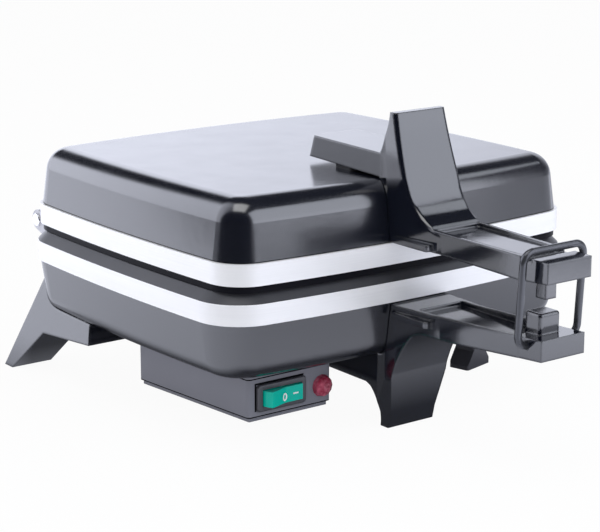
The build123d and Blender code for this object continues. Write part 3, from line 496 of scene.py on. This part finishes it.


# Brushed bare aluminium on the band, greyer lugs behind it, a dark non-stick coat on the cooking side; on the
# upper plate the coated edge below the band is painted shade, near-black and barely shiny
def castPlate(name, look, half):
    mat, tree, shader = newFinish(name, {})
    x, y, z = objectPlace(tree)
    edge = workOut(tree, half["facing"], z, half["seam"])
    edge = workOut(tree, "MULTIPLY", edge, workOut(tree, "LESS_THAN", y, look["hingeLine"]))
    inside = between(tree, x, -look["insideX"], look["insideX"])
    inside = workOut(tree, "MULTIPLY", inside, between(tree, y, *look["insideY"]))
    face = workOut(tree, "MULTIPLY", inside, workOut(tree, half["facing"], z, half["back"]))
    mask = workOut(tree, "MAXIMUM", edge, face)
    streaks = noiseOn(tree, 1, 3, look["streak"])
    brushed = spread(tree, streaks, 0, 1, *look["streakSpan"])
    patches = spread(tree, noiseOn(tree, look["patchScale"], 3), look["patchShade"], 1)
    shade = workOut(tree, "MULTIPLY", brushed, patches)
    bare = blendColours(tree, shade, look["bareSecond"], look["bare"])
    atHinge = workOut(tree, "GREATER_THAN", y, look["hingeLine"])
    bare = blendColours(tree, atHinge, bare, look["lug"])
    cloud = spread(tree, noiseOn(tree, look["coatScale"], 4), 0, 1)
    coat = blendColours(tree, cloud, look["coat"], look["coatSecond"])
    # Painted shade: the upper plate's coated edge outside the cooking face is near-black and barely shiny
    if half["dark"]:
        coat = blendColours(tree, inside, look["lip"], coat)
        lip = workOut(tree, "MULTIPLY", edge, workOut(tree, "SUBTRACT", 1, inside))
        shine = blendValues(tree, lip, plainShine, look["lipShine"])
        tree.links.new(shine, shader.inputs["Specular IOR Level"])
    tree.links.new(blendColours(tree, mask, bare, coat), shader.inputs["Base Color"])
    tree.links.new(blendValues(tree, mask, look["bareMetal"], 0), shader.inputs["Metallic"])
    bareRough = spread(tree, streaks, *look["bareRough"])
    tree.links.new(blendValues(tree, mask, bareRough, look["coatRough"]), shader.inputs["Roughness"])
    grain = noiseOn(tree, look["grainScale"], 2)
    addBumps(tree, shader, [(blendValues(tree, mask, streaks, grain), look["streakDepth"])])
    return mat


looks = {
    "blackEnamel": enamel, "phenolic": phenolic, "boxPaint": boxPaint, "switchPlastic": switchPlastic,
    "rubber": rubber, "ceramic": ceramic, "zincPlate": zincPlate, "brightSteel": brightSteel,
    "elementSheath": elementSheath, "bailWire": bailWire, "lampRed": lampRed,
    "switchGreen": switchGreen, "markWhite": markWhite,
}
finishes = {name: mottled(name, look) for name, look in looks.items()}
for half in ("lower", "upper"):
    finishes[half + "Casting"] = castPlate(half + "Casting", casting, casting[half])

wearing = {
    "blackEnamel": ["upper_shell", "lower_shell"],
    "phenolic": ["upper_handle", "lower_handle", "rear_leg_left", "rear_leg_right"],
    "boxPaint": ["control_box", "control_box_cover"],
    "switchPlastic": ["switch_body", "pilot_body", "side_foot"],
    "rubber": ["handle_spacer", "cord_gland"],
    "ceramic": ["terminal_block", "thermostat"],
    "zincPlate": [
        "lower_shell_screws", "upper_shell_screws", "lower_clamp_screw", "upper_clamp_screw",
        "lower_element_clamp", "upper_element_clamp", "control_box_screws", "cover_screws",
        "rear_leg_screws", "rear_leg_nuts", "lower_handle_screws", "upper_handle_screws",
    ],
    "brightSteel": ["hinge_pins"],
    "elementSheath": ["lower_heating_element", "upper_heating_element"],
    "bailWire": ["latch_wire"],
    "lampRed": ["pilot_lens"],
    "switchGreen": ["rocker"],
    "lowerCasting": ["lower_plate"],
    "upperCasting": ["upper_plate"],
}

for finish, names in wearing.items():
    for name in names:
        mesh = parts[name].data
        if not mesh.materials:
            mesh.materials.append(finishes[finish])
        for slot in range(len(mesh.materials)):
            mesh.materials[slot] = finishes[finish]
print("finishes on", sum(len(names) for names in wearing.values()), "parts")


# Marks printed on the rocker

marks = {
    "width": 0.0008,
    "proud": 0.00008,
    "sunk": 0.00012,
    "zero": {"centre": (-0.0751, 0.0252), "half": (0.00125, 0.0019), "steps": 36},
    "one": {"from": (-0.0692, 0.0261), "to": (-0.0657, 0.0261), "steps": 8},
}


def facesOf(node):
    mesh = parts[node].data
    return BVHTree.FromPolygons([v.co.copy() for v in mesh.vertices], [p.vertices[:] for p in mesh.polygons])


def onFront(faces, x, z):
    ahead = Vector((x, cadLow[1], z))
    hit, normal, _, _ = faces.ray_cast(ahead, Vector((0, 1, 0)))
    return hit, normal


# A ribbon laid on the front of a part, along a path of (x, z) points
def inkStroke(name, path, closed, look, body, node):
    faces = facesOf(node)
    edit = bmesh.new()
    rows = []
    count = len(path)
    for i, (x, z) in enumerate(path):
        before = path[i - 1] if closed or i else path[i]
        after = path[(i + 1) % count] if closed or i < count - 1 else path[i]
        run = Vector((after[0] - before[0], after[1] - before[1])).normalized()
        side = Vector((-run.y, run.x)) * look["width"] / 2
        row = []
        for sign, lift in ((-1, -look["sunk"]), (-1, look["proud"]), (1, look["proud"]), (1, -look["sunk"])):
            hit, normal = onFront(faces, x + sign * side.x, z + sign * side.y)
            row.append(edit.verts.new(hit + normal * lift))
        rows.append(row)
    pairs = list(zip(rows, rows[1:])) + ([(rows[-1], rows[0])] if closed else [])
    for first, second in pairs:
        for k in range(4):
            edit.faces.new((first[k], first[(k + 1) % 4], second[(k + 1) % 4], second[k]))
    if not closed:
        edit.faces.new(rows[0])
        edit.faces.new(rows[-1][::-1])
    bmesh.ops.recalc_face_normals(edit, faces=edit.faces)
    mesh = bpy.data.meshes.new(name)
    edit.to_mesh(mesh)
    edit.free()
    piece = bpy.data.objects.new(name, mesh)
    bpy.context.scene.collection.objects.link(piece)
    mesh.materials.append(finishes["markWhite"])
    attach(piece, body)


def ovalPath(look):
    path = []
    for step in range(look["steps"]):
        turn = math.tau * step / look["steps"]
        x = look["centre"][0] + look["half"][0] * math.cos(turn)
        path.append((x, look["centre"][1] + look["half"][1] * math.sin(turn)))
    return path


def barPath(look):
    start, end = Vector(look["from"]), Vector(look["to"])
    return [tuple(start.lerp(end, step / look["steps"])) for step in range(look["steps"] + 1)]


inkStroke("rockerZero", ovalPath(marks["zero"]), True, marks, "rocker", "rocker")
inkStroke("rockerOne", barPath(marks["one"]), False, marks, "rocker", "rocker")
print("rocker marks laid")
